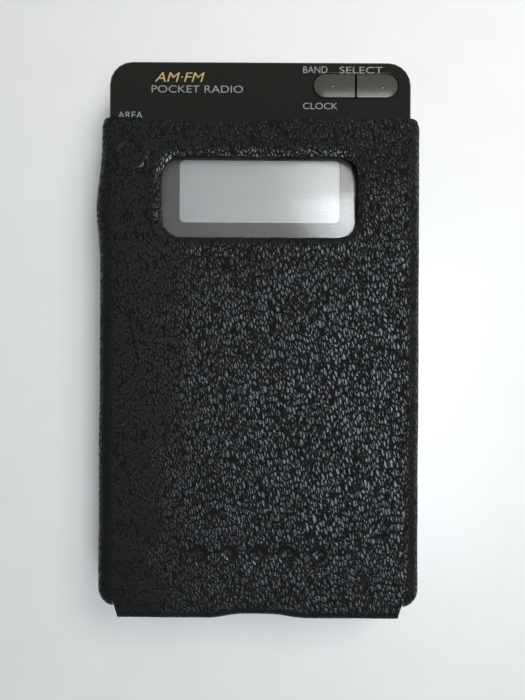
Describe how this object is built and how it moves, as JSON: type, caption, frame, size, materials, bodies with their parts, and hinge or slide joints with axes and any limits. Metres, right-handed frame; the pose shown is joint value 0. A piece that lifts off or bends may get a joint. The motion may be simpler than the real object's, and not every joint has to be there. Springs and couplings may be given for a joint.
{
  "type": "pocket radio in leather case",
  "caption": "Slim pocket radio with a liquid crystal display, standing out of the mouth of a grained black leather case with a display cut-out.",
  "frame": {"origin": "middle of the leather case's back, on the surface it lies on", "axes": "+Z out of the radio's face, +Y to the radio's top edge where it stands out of the case, +X to the right of the face"},
  "size_m": [0.0603, 0.1026, 0.0176],
  "materials": {
    "black_leather": "grained black calf, semi-gloss, painted edges",
    "back_leather": "grained black leather back panel",
    "fibreboard": "pressed card stiffener",
    "lining_cloth": "thin black woven lining",
    "gloss_black": "polished near-black moulding",
    "rear_black": "near-black moulding, fine texture",
    "door_black": "near-black moulding with grip ribs",
    "window_clear": "clear acrylic window",
    "mask_grey": "warm grey matte print",
    "lcd_glass": "pale reflective liquid crystal panel",
    "holder_black": "black moulded frame",
    "zebra_rubber": "striped conductive rubber",
    "key_grey": "warm dark grey satin keys",
    "key_rubber": "dark moulded keys",
    "switch_black": "small switch bodies",
    "keypad_rubber": "carbon-dotted keypad sheet",
    "board_green": "green solder mask on glass board",
    "chip_black": "epoxy chip bodies",
    "can_tin": "tinned steel cans",
    "capacitor_sleeve": "dark blue sleeves",
    "jack_plastic": "black moulded jack and potentiometer",
    "wheel_black": "knurled black wheel",
    "ferrite_grey": "sintered ferrite",
    "coil_copper": "enamelled copper winding",
    "cell_wrap": "plain printed steel cell",
    "contact_steel": "nickel-plated spring steel",
    "screw_steel": "blackened steel screws"
  },
  "bodies": {
    "case": {"case_wrap": "black_leather", "case_back": "back_leather", "case_stiffener": "fibreboard", "case_lining": "lining_cloth"},
    "radio": {"front_cover": "gloss_black", "rear_cover": "rear_black", "display_window": "window_clear", "display_mask": "mask_grey", "lcd_panel": "lcd_glass", "lcd_holder": "holder_black", "zebra_strip_upper": "zebra_rubber", "zebra_strip_lower": "zebra_rubber", "band_switch": "switch_black", "select_switch": "switch_black", "area_switch": "switch_black", "keypad_sheet": "keypad_rubber", "main_board": "board_green", "mcu_chip": "chip_black", "tuner_chip": "chip_black", "shield_can": "can_tin", "crystal_can": "can_tin", "hold_switch": "can_tin", "capacitor_left": "capacitor_sleeve", "capacitor_right": "capacitor_sleeve", "earphone_jack": "jack_plastic", "volume_pot": "jack_plastic", "ferrite_rod": "ferrite_grey", "antenna_coil": "coil_copper", "battery": "cell_wrap", "battery_spring": "contact_steel", "battery_plus_contact": "contact_steel", "case_screw_1": "screw_steel", "case_screw_2": "screw_steel", "case_screw_3": "screw_steel", "case_screw_4": "screw_steel", "board_screw_1": "screw_steel", "board_screw_2": "screw_steel"},
    "band_key": {"band_key": "key_grey"},
    "select_key": {"select_key": "key_grey"},
    "area_key": {"area_key": "key_rubber"},
    "power_key": {"power_key": "key_rubber"},
    "tune_down_key": {"tune_down_key": "key_rubber"},
    "tune_up_key": {"tune_up_key": "key_rubber"},
    "preset_key_1": {"preset_key_1": "key_rubber"},
    "preset_key_2": {"preset_key_2": "key_rubber"},
    "preset_key_3": {"preset_key_3": "key_rubber"},
    "preset_key_4": {"preset_key_4": "key_rubber"},
    "volume_wheel": {"volume_wheel": "wheel_black", "wheel_screw": "screw_steel"},
    "hold_slider": {"hold_slider": "key_rubber"},
    "battery_door": {"battery_door": "door_black"}
  },
  "joints": [
    {"name": "radio_pull_out", "type": "slide", "parent": "case", "child": "radio", "axis": [0, 1, 0], "range_m": [0, 0.095]},
    {"name": "band_press", "type": "slide", "parent": "radio", "child": "band_key", "axis": [0, 0, -1], "range_m": [0, 0.0003], "stiffness_N_per_m": 400, "springref_m": -0.0006},
    {"name": "select_press", "type": "slide", "parent": "radio", "child": "select_key", "axis": [0, 0, -1], "range_m": [0, 0.0003], "stiffness_N_per_m": 400, "springref_m": -0.0006},
    {"name": "area_press", "type": "slide", "parent": "radio", "child": "area_key", "axis": [0, 0, -1], "range_m": [0, 0.0003], "stiffness_N_per_m": 400, "springref_m": -0.0006},
    {"name": "power_press", "type": "slide", "parent": "radio", "child": "power_key", "axis": [0, 0, -1], "range_m": [0, 0.0003], "stiffness_N_per_m": 400, "springref_m": -0.0006},
    {"name": "tune_down_press", "type": "slide", "parent": "radio", "child": "tune_down_key", "axis": [0, 0, -1], "range_m": [0, 0.0003], "stiffness_N_per_m": 400, "springref_m": -0.0006},
    {"name": "tune_up_press", "type": "slide", "parent": "radio", "child": "tune_up_key", "axis": [0, 0, -1], "range_m": [0, 0.0003], "stiffness_N_per_m": 400, "springref_m": -0.0006},
    {"name": "preset_press_1", "type": "slide", "parent": "radio", "child": "preset_key_1", "axis": [0, 0, -1], "range_m": [0, 0.0003], "stiffness_N_per_m": 400, "springref_m": -0.0006},
    {"name": "preset_press_2", "type": "slide", "parent": "radio", "child": "preset_key_2", "axis": [0, 0, -1], "range_m": [0, 0.0003], "stiffness_N_per_m": 400, "springref_m": -0.0006},
    {"name": "preset_press_3", "type": "slide", "parent": "radio", "child": "preset_key_3", "axis": [0, 0, -1], "range_m": [0, 0.0003], "stiffness_N_per_m": 400, "springref_m": -0.0006},
    {"name": "preset_press_4", "type": "slide", "parent": "radio", "child": "preset_key_4", "axis": [0, 0, -1], "range_m": [0, 0.0003], "stiffness_N_per_m": 400, "springref_m": -0.0006},
    {"name": "volume_turn", "type": "hinge", "parent": "radio", "child": "volume_wheel", "pos_m": [-0.021, 0.0298, 0.0052], "axis": [0, 0, 1], "range_deg": [0, 300]},
    {"name": "hold_slide", "type": "slide", "parent": "radio", "child": "hold_slider", "axis": [0, 1, 0], "range_m": [0, 0.0025]},
    {"name": "battery_door_slide", "type": "slide", "parent": "radio", "child": "battery_door", "axis": [0, 1, 0], "range_m": [0, 0.0134]}
  ]
}
